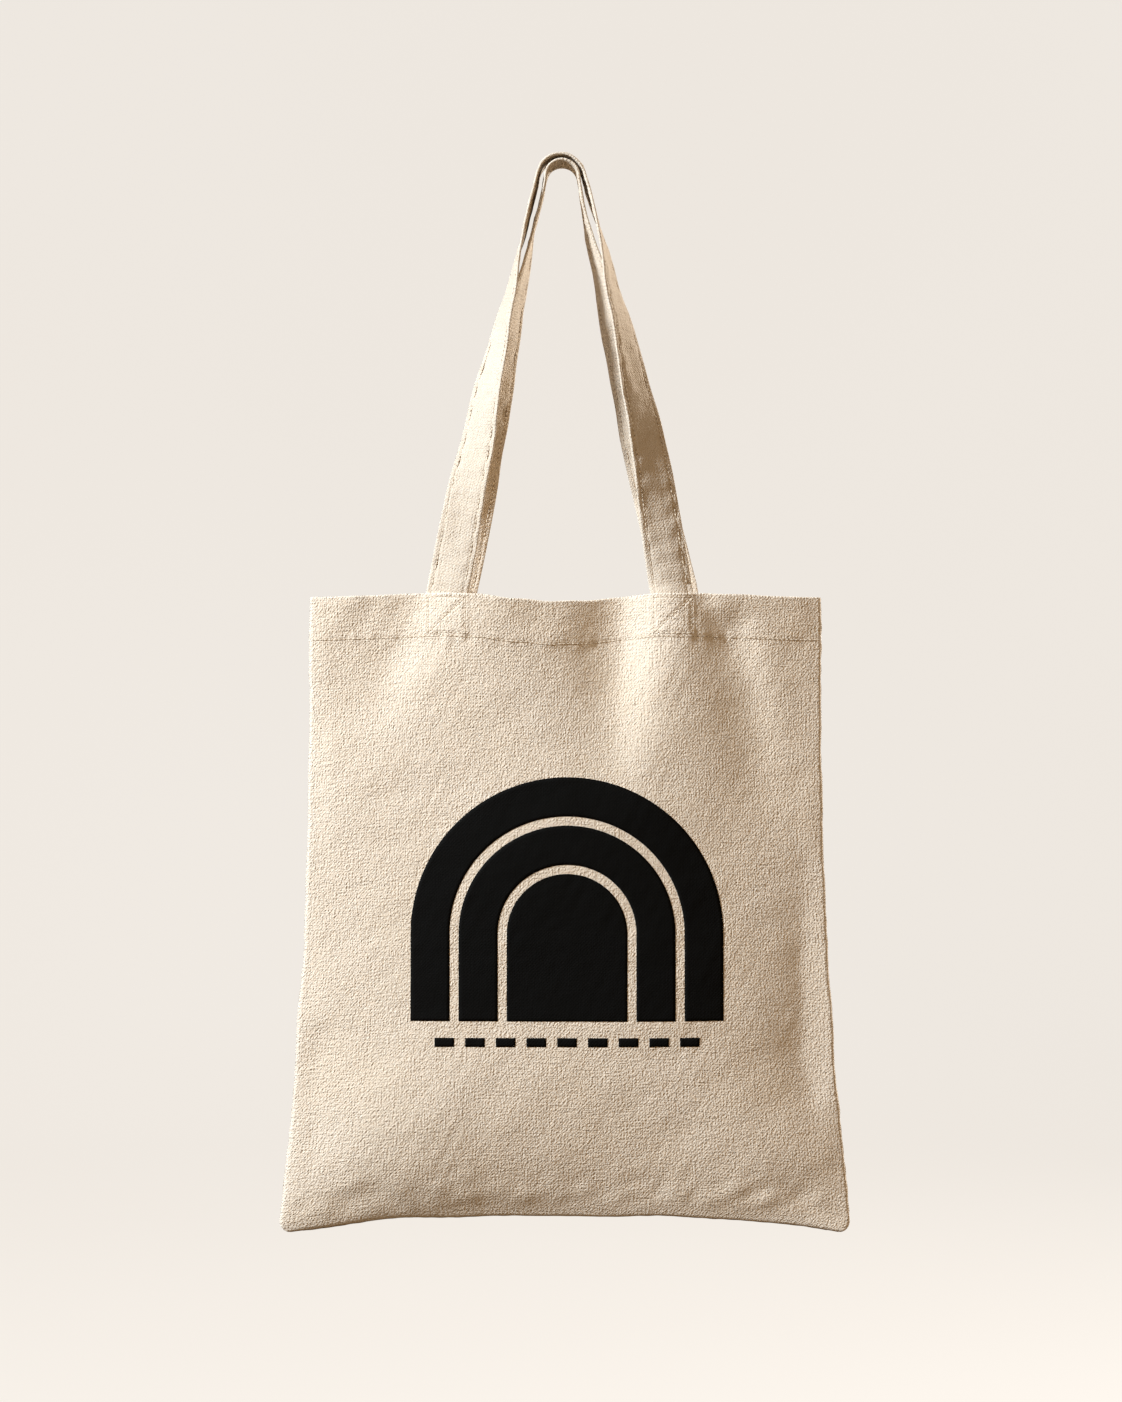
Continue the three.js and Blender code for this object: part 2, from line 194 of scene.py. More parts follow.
def rim_height(x):
    reach = np.abs(x) / FOOT_X
    inside = RIM_Z + FOOT_LIFT - RIM_SAG * np.cos(np.clip(reach, 0, 1) * math.pi / 2) ** 2
    beyond = (np.abs(x) - FOOT_X) / (RIM_HALF_WIDTH - FOOT_X)
    outside = RIM_Z + FOOT_LIFT * (1 - smooth_step(beyond))
    return np.where(reach < 1, inside, outside)


def edge_wobble(v, hand):
    """The side seams aren't quite straight: a long wave and a short one."""
    z = v * HEIGHT
    fade = smooth_step(v * 30)
    long_wave = 0.35 * ripple(z, 0 * z, 34, 11 + hand)
    short_wave = 0.12 * ripple(z, 0 * z, 9, 21 + hand)
    return fade * (long_wave + short_wave)


def half_width(v):
    rise = CORNER_RADIUS - (1 - v) * HEIGHT
    rise = np.clip(rise, 0, CORNER_RADIUS)
    corner = CORNER_RADIUS - np.sqrt(CORNER_RADIUS ** 2 - rise ** 2)
    return RIM_HALF_WIDTH + BOTTOM_FLARE * np.maximum(v, 0) ** FLARE_POWER - corner


def rim_and_bottom(u):
    top = rim_height(BAG_SHIFT + u * RIM_HALF_WIDTH)
    top = top + 0.15 * ripple(u * RIM_HALF_WIDTH, 0 * u, 16, 31) * (1 - np.abs(u) ** 6)
    bottom = BOTTOM_Z - CORNER_DROOP * np.abs(u) ** 3
    bottom = bottom + 0.4 * ripple(u * RIM_HALF_WIDTH, 0 * u, 26, 32) * (1 - np.abs(u) ** 6)
    return top, bottom


def outline(u, v):
    u, v = np.broadcast_arrays(np.asarray(u, float), np.asarray(v, float))
    top, bottom = rim_and_bottom(u)
    wobble = np.where(u < 0, -edge_wobble(v, LEFT), edge_wobble(v, RIGHT)) * np.abs(u) ** 4
    return BAG_SHIFT + u * half_width(v) + wobble, top + v * (bottom - top)


def inverse_outline(x, z):
    """u and v of a place on the panel seen from the front."""
    x, z = np.broadcast_arrays(np.asarray(x, float), np.asarray(z, float))
    v = (RIM_Z - z) / HEIGHT
    u = (x - BAG_SHIFT) / half_width(v)
    for _ in range(6):
        top, bottom = rim_and_bottom(u)
        v = (top - z) / (top - bottom)
        wobble = np.where(u < 0, -edge_wobble(v, LEFT), edge_wobble(v, RIGHT)) * np.abs(u) ** 4
        u = (x - wobble - BAG_SHIFT) / half_width(v)
    return u, v


def bulge(u, v):
    """How far a panel stands out from its seams, without its folds."""
    full_low = RIM_DEPTH + (BELLY_DEPTH - RIM_DEPTH) * smooth_step(v / BELLY_AT)
    bottom_power = BOTTOM_POWER + LEFT_CORNER_POWER * smooth_step((-u - 0.25) / 0.45)
    low_share = np.clip(v - BELLY_AT, 0, 1 - BELLY_AT) / (1 - BELLY_AT)
    full_high = BELLY_DEPTH * (1 - low_share ** bottom_power) ** BOTTOM_ROUND
    fullness = np.where(v < BELLY_AT, full_low, full_high)
    across = np.clip(np.abs(u) / VALLEY_HALF_WIDTH, 0, 1)
    down = 1 - np.clip(v / VALLEY_LENGTH, 0, 1)
    valley = VALLEY_DEPTH * np.cos(across * math.pi / 2) ** 2 * down ** 2
    corner_power = np.where(u < 0, 2, 1) * CORNER_POWER
    side_power = SIDE_POWER + corner_power * smooth_step((v - CORNERS_AT) / (1 - CORNERS_AT))
    return fullness * (1 - np.abs(u) ** side_power) - valley


# A crease runs from one place to another in x and z. Its width grows along it, and it is
# pushed in by its depth, or out if the depth is under 0.
CREASES = {
    # start x, z, end x, z, width at start, at end, depth, share of the length it fades over
    FRONT: [
        (40, -280, 31, -445, 20, 18, 14.0, 0.85),
        (-40, -288, -42, -430, 20, 34, -2.4, 0.9),
        (74, -288, 82, -420, 14, 26, -2.6, 0.8),
        (94, -284, 122, -350, 5, 9, 1.5, 0.7),
        (116, -312, 144, -478, 11, 23, 4.2, 0.6),
        (-94, -282, -146, -410, 18, 24, 6.4, 0.7),
        (-124, -290, -150, -336, 6, 9, 1.3, 0.6),
        (-166, -300, -160, -360, 7, 9, -1.2, 0.6),
        (200, -540, 150, -668, 19, 29, 6.8, 0.6),
        (192, -470, 168, -585, 20, 26, 4.4, 0.6),
        (-150, -706, -96, -678, 10, 16, 1.2, 0.7),
        (186, -704, 112, -674, 12, 20, 2.2, 0.7),
        (-188, -616, -140, -560, 12, 18, 1.8, 0.6),
    ],
    BACK: [
        (10, -284, 4, -400, 28, 20, 6.0, 0.75),
        (-98, -292, -134, -455, 10, 20, 3.0, 0.6),
        (108, -292, 148, -420, 10, 18, 2.6, 0.6),
        (-190, -580, -130, -660, 12, 20, 2.6, 0.6),
        (190, -690, 120, -672, 10, 20, 2.0, 0.6),
        (-190, -705, -110, -674, 12, 20, 2.0, 0.6),
    ],
}

LONG_WALL = 1.45  # a crease's left wall is this much wider than its right wall
CREASE_START = 0.12  # a crease starts over this share of its length


def crease(x, z, start_x, start_z, end_x, end_z, start_width, end_width, depth, fade):
    run_x, run_z = end_x - start_x, end_z - start_z
    length = math.hypot(run_x, run_z)
    t = ((x - start_x) * run_x + (z - start_z) * run_z) / length ** 2
    aside = ((x - start_x) * run_z - (z - start_z) * run_x) / length
    width = start_width + (end_width - start_width) * np.clip(t, 0, 1)
    width = width * np.where(aside > 0, LONG_WALL, 1)
    ends = smooth_step((1 - t) / fade) * smooth_step((t + CREASE_START) / CREASE_START)
    return -depth * bump_at(aside, width) * ends


def edge_distance(u, v):
    """Distance to the nearest side seam or to the bottom seam."""
    return np.minimum((1 - np.abs(u)) * RIM_HALF_WIDTH, (1 - v) * HEIGHT)


# Ripples all over the cloth: height, size and seed.
RIPPLES = ((0.75, 62, 40), (0.13, 15, 50), (0.07, 5.0, 60))
HEM_PUCKER = 0.27
SEAM_PUCKER = 0.24
BOTTOM_BAND = 16.0  # the middle of the wrinkled band along the bottom, and its width
HEM_STEP = 0.45
END_STEP = 0.55
HEM_GROOVE = 0.9  # width of the groove that the hem's row of stitches pulls in
STITCH_GROOVE = 1.05  # the same at the handle ends
DIAGONAL_LEAN = 0.96  # the square's diagonal falls this much for each step across
DIAGONAL_LENGTH = math.sqrt(1.92)
FOLD_FADE = 18.0  # the folds fade out this close to the seams


def end_folds(side, x, drop):
    """The handle ends inside the hem, and the grooves of the stitches that hold them."""
    total = 0
    for hand in (LEFT, RIGHT):
        aside = x - SHIFT[side] - hand * FOOT_X
        reach = smooth_step((STRAP_HALF + 1.2 - np.abs(aside)) / 2.2)
        total += END_STEP * reach * smooth_step((END_LENGTH + 1.2 - drop) / 2.2)
        below = drop - BOX_MIDDLE
        box = np.maximum(np.abs(aside) - BOX_HALF_WIDTH, np.abs(below) - BOX_HALF_HEIGHT)
        total -= 0.6 * bump_at(box, STITCH_GROOVE)
        diagonal = (aside * DIAGONAL_LEAN + below) / DIAGONAL_LENGTH
        total -= 0.5 * bump_at(diagonal, STITCH_GROOVE) * smooth_step(-box)
    return total


def folds(side, u, v, x, z):
    """How far the cloth stands out from the plain bulge."""
    drop = rim_height(x) - z
    total = np.zeros_like(x)
    for one in CREASES[side]:
        total += crease(x, z, *one)
    for height, size, seed in RIPPLES:
        total += height * ripple(x, z, size, seed + side)
    # puckers along the hem's stitching and along the side seams
    hem = bump_at(drop - HEM_STITCH_DROP, 5.0)
    total += hem * HEM_PUCKER * ripple(x, 0.3 * z, 4.5, 70 + side)
    seam = bump_at((1 - np.abs(u)) * RIM_HALF_WIDTH, 12.0)
    total += seam * SEAM_PUCKER * ripple(0.3 * x, z, 7.0, 80 + side)
    # soft wrinkles along the bottom, more of them towards the corners
    bottom = bump_at((1 - v) * HEIGHT - BOTTOM_BAND, BOTTOM_BAND)
    corner = smooth_step((np.abs(u) - 0.3) / 0.5)
    total += bottom * ((0.22 + 0.2 * corner) * ripple(x, z, 8, 90 + side, stretch=1.3) + 0.3)
    # the hem's double cloth and its row of stitches
    total += HEM_STEP * smooth_step((HEM_DEPTH + 2.5 - drop) / 6.0)
    total -= 0.22 * bump_at(drop - HEM_STITCH_DROP, HEM_GROOVE)
    total += end_folds(side, x, drop)
    return total * smooth_step(edge_distance(u, v) / FOLD_FADE)


SEAM_CLEARANCE = 0.6  # no fold pushes the cloth into the seam allowances
EDGE_ROUND = 1.8


def edge_round(u, v):
    """0 in the middle of the panel, growing to 1 at its edges, where the cloth turns in."""
    near = np.clip(1 - edge_distance(u, v) / EDGE_ROUND, 0, 1)
    return 1 - np.sqrt(1 - near ** 2)


def panel_point(side, u, v, depth):
    """A place on the panel, depth under its outer face."""
    u, v, depth = np.broadcast_arrays(*(np.asarray(k, float) for k in (u, v, depth)))
    x, z = outline(u, v)
    stand_off = bulge(u, v) + folds(side, u, v, x, z)
    stand_off = (stand_off + np.sqrt(stand_off ** 2 + SEAM_CLEARANCE ** 2)) / 2
    high = PANEL_EDGE + stand_off - depth
    high = high - edge_round(u, v) * (PANEL_EDGE - CANVAS / 2 - 0.1)
    return np.stack([x, side * high, z], axis=-1)


def panel_place(side, x, z, depth):
    u, v = inverse_outline(x, z)
    return panel_point(side, u, v, depth)


def hem_place(side, x, drop, depth):
    """A place near the rim by its distance from the hook's middle and its drop."""
    x, drop = np.broadcast_arrays(np.asarray(x, float), np.asarray(drop, float))
    top, _ = rim_and_bottom((x - BAG_SHIFT) / RIM_HALF_WIDTH)
    return panel_place(side, x, top - drop, depth)


# ---- mesh helpers ----------------------------------------

def make_object(name, verts_mm, faces, material, cloth=None, wear_and_hole_shade=None):
    """A smooth mesh. cloth holds each vertex's place on the flat cloth and wear_and_hole_shade how
    worn the cloth is there and, on the stitches, how much painted shade darkens the needle hole;
    both are read by the materials."""
    mesh = bpy.data.meshes.new(name)
    mesh.from_pydata((np.asarray(verts_mm) * MM).tolist(), [], faces)
    mesh.shade_smooth()
    if cloth is not None:
        layer = mesh.attributes.new("cloth", "FLOAT_VECTOR", "POINT")
        flat = np.zeros((len(verts_mm), 3), np.float32)
        flat[:, : cloth.shape[1]] = cloth
        layer.data.foreach_set("vector", flat.ravel())
    if wear_and_hole_shade is not None:
        layer = mesh.attributes.new("wear_and_hole_shade", "FLOAT", "POINT")
        layer.data.foreach_set("value", np.asarray(wear_and_hole_shade, np.float32).ravel())
    mesh.materials.append(material)
    piece = bpy.data.objects.new(name, mesh)
    bpy.context.scene.collection.objects.link(piece)
    return piece


def grid_faces(rows, columns, offset=0, flip=False, loop=False):
    faces = []
    around = columns if loop else columns - 1
    for r in range(rows - 1):
        for c in range(around):
            a = offset + r * columns + c
            b = offset + r * columns + (c + 1) % columns
            quad = (a, b, b + columns, a + columns)
            faces.append(quad[::-1] if flip else quad)
    return faces


def grid_rim(rows, columns):
    """The vertices around the outside of a grid, in order."""
    rim = list(range(columns))
    rim += [r * columns + columns - 1 for r in range(1, rows)]
    rim += [(rows - 1) * columns + c for c in range(columns - 2, -1, -1)]
    rim += [r * columns for r in range(rows - 2, 0, -1)]
    return rim


def rim_faces(rows, columns, offset=0):
    """Faces that join the outside of a grid to that of the grid made just after it."""
    rim = grid_rim(rows, columns)
    count = rows * columns
    faces = []
    for a, b in zip(rim, rim[1:] + rim[:1]):
        faces.append((offset + b, offset + a, offset + a + count, offset + b + count))
    return faces


def end_caps(rows, columns, offset=0):
    """The two faces that close a tube made of rings."""
    first = tuple(offset + k for k in range(columns))
    last = tuple(offset + (rows - 1) * columns + k for k in range(columns))
    return [first[::-1], last]


def surface_normals(grid):
    along = np.gradient(grid, axis=0)
    across = np.gradient(grid, axis=1)
    normal = np.cross(across, along)
    return normal / np.maximum(np.linalg.norm(normal, axis=-1, keepdims=True), 1e-9)


def cloth_shell(name, middle, thickness, cloth, wear_and_hole_shade, material):
    """A sheet with a thickness, from its middle layer as rows and columns of points."""
    rows, columns = middle.shape[:2]
    normal = surface_normals(middle)
    over = (middle + normal * thickness / 2).reshape(-1, 3)
    under = (middle - normal * thickness / 2).reshape(-1, 3)
    count = rows * columns
    faces = grid_faces(rows, columns) + grid_faces(rows, columns, count, flip=True)
    faces += rim_faces(rows, columns)
    verts = np.vstack([over, under])
    piece = make_object(
        name, verts, faces, material,
        cloth=np.vstack([cloth.reshape(-1, 2)] * 2), wear_and_hole_shade=np.hstack([wear_and_hole_shade.ravel()] * 2),
    )
    face_out(piece)
    return piece


def face_out(piece):
    """Turns the faces over if the closed mesh is inside out."""
    mesh = piece.data
    mesh.calc_loop_triangles()
    points = np.empty(len(mesh.vertices) * 3)
    mesh.vertices.foreach_get("co", points)
    corners = np.empty(len(mesh.loop_triangles) * 3, int)
    mesh.loop_triangles.foreach_get("vertices", corners)
    a, b, c = points.reshape(-1, 3)[corners.reshape(-1, 3)].transpose(1, 0, 2)
    if np.sum(a * np.cross(b, c)) < 0:
        mesh.flip_normals()


# ---- materials -------------------------------------------

class Nodes:
    """Short calls for building a material's nodes."""

    def __init__(self, name):
        self.material = bpy.data.materials.new(name)
        self.material.use_nodes = True
        self.tree = self.material.node_tree
        self.shader = self.tree.nodes["Principled BSDF"]

    def add(self, kind, **settings):
        node = self.tree.nodes.new(kind)
        for key, value in settings.items():
            setattr(node, key, value)
        return node

    def link(self, source, target):
        self.tree.links.new(source, target)

    def fill(self, socket, value):
        if isinstance(value, bpy.types.NodeSocket):
            self.link(value, socket)
        else:
            socket.default_value = value

    def math(self, operation, a, b=0.0):
        node = self.add("ShaderNodeMath", operation=operation)
        self.fill(node.inputs[0], a)
        self.fill(node.inputs[1], b)
        return node.outputs[0]

    def attribute(self, name):
        return self.add("ShaderNodeAttribute", attribute_name=name)

    def scaled(self, vector, scale):
        node = self.add("ShaderNodeMapping")
        self.link(vector, node.inputs["Vector"])
        node.inputs["Scale"].default_value = scale
        return node.outputs[0]

    def noise(self, vector, scale, detail=2.0, roughness=0.5):
        node = self.add("ShaderNodeTexNoise")
        self.link(vector, node.inputs["Vector"])
        node.inputs["Scale"].default_value = scale
        node.inputs["Detail"].default_value = detail
        node.inputs["Roughness"].default_value = roughness
        return node.outputs["Fac"]

    def remap(self, value, low, high, to_low, to_high):
        node = self.add("ShaderNodeMapRange")
        self.link(value, node.inputs["Value"])
        ends = {"From Min": low, "From Max": high, "To Min": to_low, "To Max": to_high}
        for key, number in ends.items():
            node.inputs[key].default_value = number
        return node.outputs[0]

    def mix_color(self, factor, a, b):
        node = self.add("ShaderNodeMix", data_type="RGBA")
        self.fill(node.inputs["Factor"], factor)
        self.fill(node.inputs["A"], a)
        self.fill(node.inputs["B"], b)
        return node.outputs["Result"]

    def bump(self, height, distance, strength, normal=None):
        node = self.add("ShaderNodeBump")
        self.link(height, node.inputs["Height"])
        node.inputs["Distance"].default_value = distance
        node.inputs["Strength"].default_value = strength
        if normal is not None:
            self.link(normal, node.inputs["Normal"])
        return node.outputs[0]


YARN = 1.15  # distance between yarns
# the grain's heights, in metres as the bump node takes them
CREPE_HEIGHT = 0.00122
SLUB_HEIGHT = 0.0007
YARN_HEIGHT = 0.00016


def weave_height(n, cloth):
    """Plain weave, from the place on the cloth in millimetres: yarns over and under, with
    thick and thin yarns."""
    drift = n.noise(cloth, 0.22, 2.0)
    parts = n.add("ShaderNodeSeparateXYZ")
    n.link(cloth, parts.inputs[0])
    sway = n.math("MULTIPLY", n.math("SUBTRACT", drift, 0.5), 1.6)
    turn = 2 * math.pi / YARN / 2
    across = n.math("MULTIPLY", n.math("ADD", parts.outputs[0], sway), turn)
    along = n.math("MULTIPLY", n.math("SUBTRACT", parts.outputs[1], sway), turn)
    over = n.math("MULTIPLY", n.math("SINE", across), n.math("SINE", along))
    weft = n.noise(n.scaled(cloth, (0.10, 0.9, 1.0)), 1.0, 2.0)
    warp = n.noise(n.scaled(cloth, (0.9, 0.10, 1.0)), 1.0, 2.0)
    slubs = n.math("ADD", weft, warp)
    return over, slubs


def tinted(color, tint):
    return tuple(part * tint for part in color[:3]) + (1,)


def canvas_material(name, crepe=1.0, tint=1.0):
    """Natural canvas: a crepe grain, yarns of uneven thickness, dark flecks, and paler cloth where
    it is worn. Painted shade darkens the low parts of the crepe grain and the hollows of the weave,
    and a tint under 1 darkens every colour as painted shade."""
    n = Nodes(name)
    cloth = n.attribute("cloth").outputs["Vector"]
    wear_and_hole_shade = n.attribute("wear_and_hole_shade").outputs["Fac"]
    over, slubs = weave_height(n, cloth)
    crinkle = n.noise(n.scaled(cloth, (1.1, 0.85, 1.0)), 0.61, 1.8, 0.5)

    # tint multiplies cream, shade and pale alike; a tint under 1 is painted shade over the whole
    # material
    cream = tinted((0.742, 0.652, 0.550), tint)
    # shade is a darker tone of the cloth: the random tone and the slubs use it, and it is also
    # painted shade in the hollows of the crepe and of the weave
    shade = tinted((0.680, 0.560, 0.420), tint)
    pale = tinted((0.797, 0.732, 0.645), tint)
    fleck = (0.270, 0.165, 0.085, 1)
    broad = n.noise(cloth, 0.016, 3.0)
    fine = n.noise(cloth, 0.55, 3.0, 0.65)
    color = n.mix_color(n.remap(broad, 0.3, 0.7, 0.0, 0.55), cream, shade)
    color = n.mix_color(n.remap(fine, 0.35, 0.7, 0.0, 0.5), color, pale)
    color = n.mix_color(n.remap(slubs, 0.75, 1.25, 0.0, 0.4), color, shade)
    # painted shade: darker in the low parts of the crepe grain, the hollows of its bumps
    color = n.mix_color(n.remap(crinkle, 0.52, 0.32, 0.0, 0.5), color, shade)
    # painted shade: darker where the yarns dip under, in the hollows of the weave
    color = n.mix_color(n.remap(over, -1.0, 1.0, 0.10, 0.0), color, shade)
    seeds = n.noise(n.scaled(cloth, (1.0, 0.7, 1.0)), 0.62, 1.0)
    color = n.mix_color(n.remap(seeds, 0.775, 0.80, 0.0, 0.75), color, fleck)
    color = n.mix_color(n.math("MULTIPLY", wear_and_hole_shade, 0.30), color, pale)
    n.link(color, n.shader.inputs["Base Color"])

    rough = n.remap(fine, 0.2, 0.8, 0.86, 0.98)
    n.link(rough, n.shader.inputs["Roughness"])
    n.shader.inputs["Specular IOR Level"].default_value = 0.22
    n.shader.inputs["Sheen Weight"].default_value = 0.22
    n.shader.inputs["Sheen Roughness"].default_value = 0.55
    n.shader.inputs["Sheen Tint"].default_value = (1.0, 0.95, 0.87, 1)

    normal = n.bump(crinkle, CREPE_HEIGHT * crepe, 0.9)
    normal = n.bump(slubs, SLUB_HEIGHT, 0.8, normal)
    normal = n.bump(over, YARN_HEIGHT, 0.6, normal)
    n.link(normal, n.shader.inputs["Normal"])
    return n.material


def ink_material():
    n = Nodes("ink")
    cloth = n.attribute("cloth").outputs["Vector"]
    over, slubs = weave_height(n, cloth)
    grain = n.noise(cloth, 0.9, 3.0, 0.6)
    black = (0.0028, 0.0028, 0.0026, 1)
    worn = (0.014, 0.013, 0.011, 1)
    color = n.mix_color(n.remap(grain, 0.55, 0.8, 0.0, 0.5), black, worn)
    color = n.mix_color(n.remap(over, 0.2, 1.0, 0.0, 0.18), color, worn)
    n.link(color, n.shader.inputs["Base Color"])
    n.link(n.remap(grain, 0.2, 0.8, 0.7, 0.9), n.shader.inputs["Roughness"])
    n.shader.inputs["Specular IOR Level"].default_value = 0.06
    normal = n.bump(slubs, 0.0004, 0.5)
    normal = n.bump(over, 0.00014, 0.5, normal)
    n.link(normal, n.shader.inputs["Normal"])
    return n.material


def thread_material():
    n = Nodes("thread")
    cloth = n.attribute("cloth").outputs["Vector"]
    ply = n.add("ShaderNodeTexWave", wave_type="BANDS", bands_direction="DIAGONAL")
    n.link(cloth, ply.inputs["Vector"])
    ply.inputs["Scale"].default_value = 1.3
    ply.inputs["Distortion"].default_value = 0.6
    tone = n.noise(cloth, 0.08, 2.0)
    # painted light and shade: the ply bands are paler on the twist's crowns and darker in its
    # grooves, following the same bands as the bump
    color = n.mix_color(ply.outputs["Fac"], (0.66, 0.56, 0.43, 1), (0.84, 0.76, 0.63, 1))
    color = n.mix_color(n.remap(tone, 0.3, 0.7, 0.0, 0.35), color, (0.66, 0.53, 0.38, 1))
    # painted shade: the needle holes are painted dark brown for the shade inside them
    hole = n.attribute("wear_and_hole_shade").outputs["Fac"]
    color = n.mix_color(hole, color, (0.33, 0.23, 0.145, 1))
    n.link(color, n.shader.inputs["Base Color"])
    n.link(n.remap(tone, 0.2, 0.8, 0.6, 0.8), n.shader.inputs["Roughness"])
    n.shader.inputs["Sheen Weight"].default_value = 0.3
    n.link(n.bump(ply.outputs["Fac"], 0.0001, 0.6), n.shader.inputs["Normal"])
    return n.material


def stage_material():
    n = Nodes("stage")
    where = n.add("ShaderNodeTexCoord").outputs["Object"]
    tone = n.noise(where, 0.35, 2.0)
    color = n.mix_color(tone, (0.84, 0.79, 0.73, 1), (0.87, 0.83, 0.78, 1))
    base = n.mix_color(tone, (0.10, 0.095, 0.09, 1), (0.12, 0.115, 0.11, 1))
    n.link(base, n.shader.inputs["Base Color"])
    n.shader.inputs["Roughness"].default_value = 0.95
    n.shader.inputs["Specular IOR Level"].default_value = 0.1
    n.link(color, n.shader.inputs["Emission Color"])
    n.shader.inputs["Emission Strength"].default_value = 0.95
    return n.material


canvas = canvas_material("canvas")
# painted shade: the straps get a copy of the canvas darkened by tint 0.86, standing in for the
# shade on them
strap_canvas_painted_shade = canvas_material("strap_canvas_painted_shade", crepe=0.4, tint=0.86)
ink = ink_material()
thread = thread_material()


# ---- panels ----------------------------------------------

COLUMN_STEP = 2.8
FINE_STEP = 0.8
ROW_STEP = 2.9
HEM_ROW_STEP = 0.75
RIM_ROUND = 0.8  # the cloth starts to turn over this far under the rim


def panel_drops():
    """Rows from the bottom up to the rim, closer at the hem, the rim and the corners."""
    hem = np.arange(RIM_ROUND, HEM_DEPTH + 3, HEM_ROW_STEP)
    body = np.arange(HEM_DEPTH + 5, HEIGHT - 10, ROW_STEP)
    low = HEIGHT - np.array([9.0, 7.5, 6.0, 4.8, 3.6, 2.6, 1.8, 1.2, 0.7, 0.3, 0.0])
    return np.hstack([hem, body, low])[::-1] / HEIGHT


def panel_columns(side):
    """Columns from seam to seam, closer where the handles are sewn in and at the seams."""
    inner = np.linspace(-1, 1, int(2 * RIM_HALF_WIDTH / COLUMN_STEP))
    edge = 1 - np.array([0.3, 0.7, 1.2, 1.8]) / RIM_HALF_WIDTH
    half = STRAP_HALF + 2.4
    for hand in (LEFT, RIGHT):
        foot = (SHIFT[side] + hand * FOOT_X - BAG_SHIFT) / RIM_HALF_WIDTH
        fine = foot + np.arange(-half, half + 0.01, FINE_STEP) / RIM_HALF_WIDTH
        inner = inner[np.abs(inner - foot) > (half + FINE_STEP) / RIM_HALF_WIDTH]
        inner = np.hstack([inner, fine])
    return np.unique(np.hstack([inner, edge, -edge]))


def make_panel(side):
    u = panel_columns(side)
    v = panel_drops()
    outer = panel_point(side, u[None, :], v[:, None], CANVAS / 2)
    # over the rim and down inside, as the turned hem
    radius = (CANVAS + LAYER_GAP) / 2
    turn = []
    top, _ = rim_and_bottom(u)
    rim = panel_point(side, u, np.full_like(u, RIM_ROUND / HEIGHT), CANVAS / 2)
    for angle in np.linspace(0, math.pi, 7)[1:-1]:
        row = rim.copy()
        row[:, 1] -= side * radius * (1 - math.cos(angle))
        row[:, 2] = top - RIM_ROUND + (RIM_ROUND - CANVAS / 2) * math.sin(angle)
        turn.append(row)
    inside_v = np.hstack([np.arange(RIM_ROUND, HEM_DEPTH, 1.6), HEM_DEPTH]) / HEIGHT
    inner = panel_point(side, u[None, :], inside_v[:, None], CANVAS / 2)
    inner[:, :, 1] -= side * 2 * radius
    to_seam = smooth_step((1 - np.abs(u)) * RIM_HALF_WIDTH / 12)
    inner[:, :, 1] += side * 2 * radius * 0.35 * (1 - to_seam)
    middle = np.concatenate([outer, np.array(turn), inner], axis=0)

    steps = np.linalg.norm(np.diff(middle, axis=0), axis=-1)
    along = np.vstack([np.zeros(len(u)), np.cumsum(steps, axis=0)])
    across = np.broadcast_to(u * (RIM_HALF_WIDTH + 10), along.shape)
    cloth = np.stack([across + 400 * (side + 1), along.mean(axis=1)[:, None] + 0 * along], axis=-1)

    rows = len(v)
    wear_and_hole_shade = np.zeros(along.shape)
    wear_and_hole_shade[:rows] = np.maximum(
        bump_at((1 - np.abs(u[None, :])) * RIM_HALF_WIDTH, 3.0),
        np.maximum(bump_at(v[:, None] * HEIGHT, 2.0), bump_at((1 - v[:, None]) * HEIGHT, 4.0)),
    )
    wear_and_hole_shade[rows:rows + len(turn)] = 1
    return cloth_shell(f"{NAME[side]}_canvas", middle, CANVAS, cloth, wear_and_hole_shade, canvas)


panels = {side: make_panel(side) for side in (FRONT, BACK)}
for side, panel in panels.items():
    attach(panel, "bag")
    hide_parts(f"{NAME[side]}_panel", f"{NAME[side]}_hem_turn")


# ---- seams -----------------------------------------------

SEAM_STRIP = 1.1  # thickness of the two allowances together


def strip_piece(name, path, out, width_in, proud, thickness, wave_seed):
    """The two seam allowances along an edge: a flat strip in the middle plane, from width_in
    inside the edge to just past it. path holds the edge's points and out the way out."""
    count = len(path)
    around = np.linspace(0, 2 * math.pi, 13)[:-1]
    step = np.linalg.norm(np.diff(path, axis=0), axis=1)
    along = np.hstack([0, np.cumsum(step)])
    half_deep = (width_in + proud) / 2
    ring_out = np.sign(np.cos(around)) * np.abs(np.cos(around)) ** 0.5 * half_deep
    ring_y = np.sign(np.sin(around)) * np.abs(np.sin(around)) ** 0.7 * thickness / 2
    wave = 0.10 * ripple(along, 0 * along, 6.0, wave_seed)
    verts = []
    cloth = []
    for i in range(count):
        for o, y in zip(ring_out, ring_y):
            place = path[i] + out[i] * (proud - half_deep + o + wave[i] * (o > 0))
            verts.append(place + np.array([0, y + 0.2 * wave[i], 0]))
            cloth.append((o * 2 + y, along[i]))
    faces = grid_faces(count, len(around), loop=True) + end_caps(count, len(around))
    wear_and_hole_shade = np.full(len(verts), 0.8)
    piece = make_object(name, verts, faces, canvas, cloth=np.array(cloth), wear_and_hole_shade=wear_and_hole_shade)
    face_out(piece)
    return piece


def make_side_seam(hand):
    v = np.linspace(0.002, 1 - 13 / HEIGHT, 170)
    x, z = outline(np.full_like(v, hand), v)
    path = np.stack([x, 0 * x, z], axis=-1)
    out = np.tile([float(hand), 0.0, 0.0], (len(v), 1))
    name = f"{HAND_NAME[hand]}_seam_allowance"
    return strip_piece(name, path, out, 9.5, 0.7, SEAM_STRIP, 7 + hand)


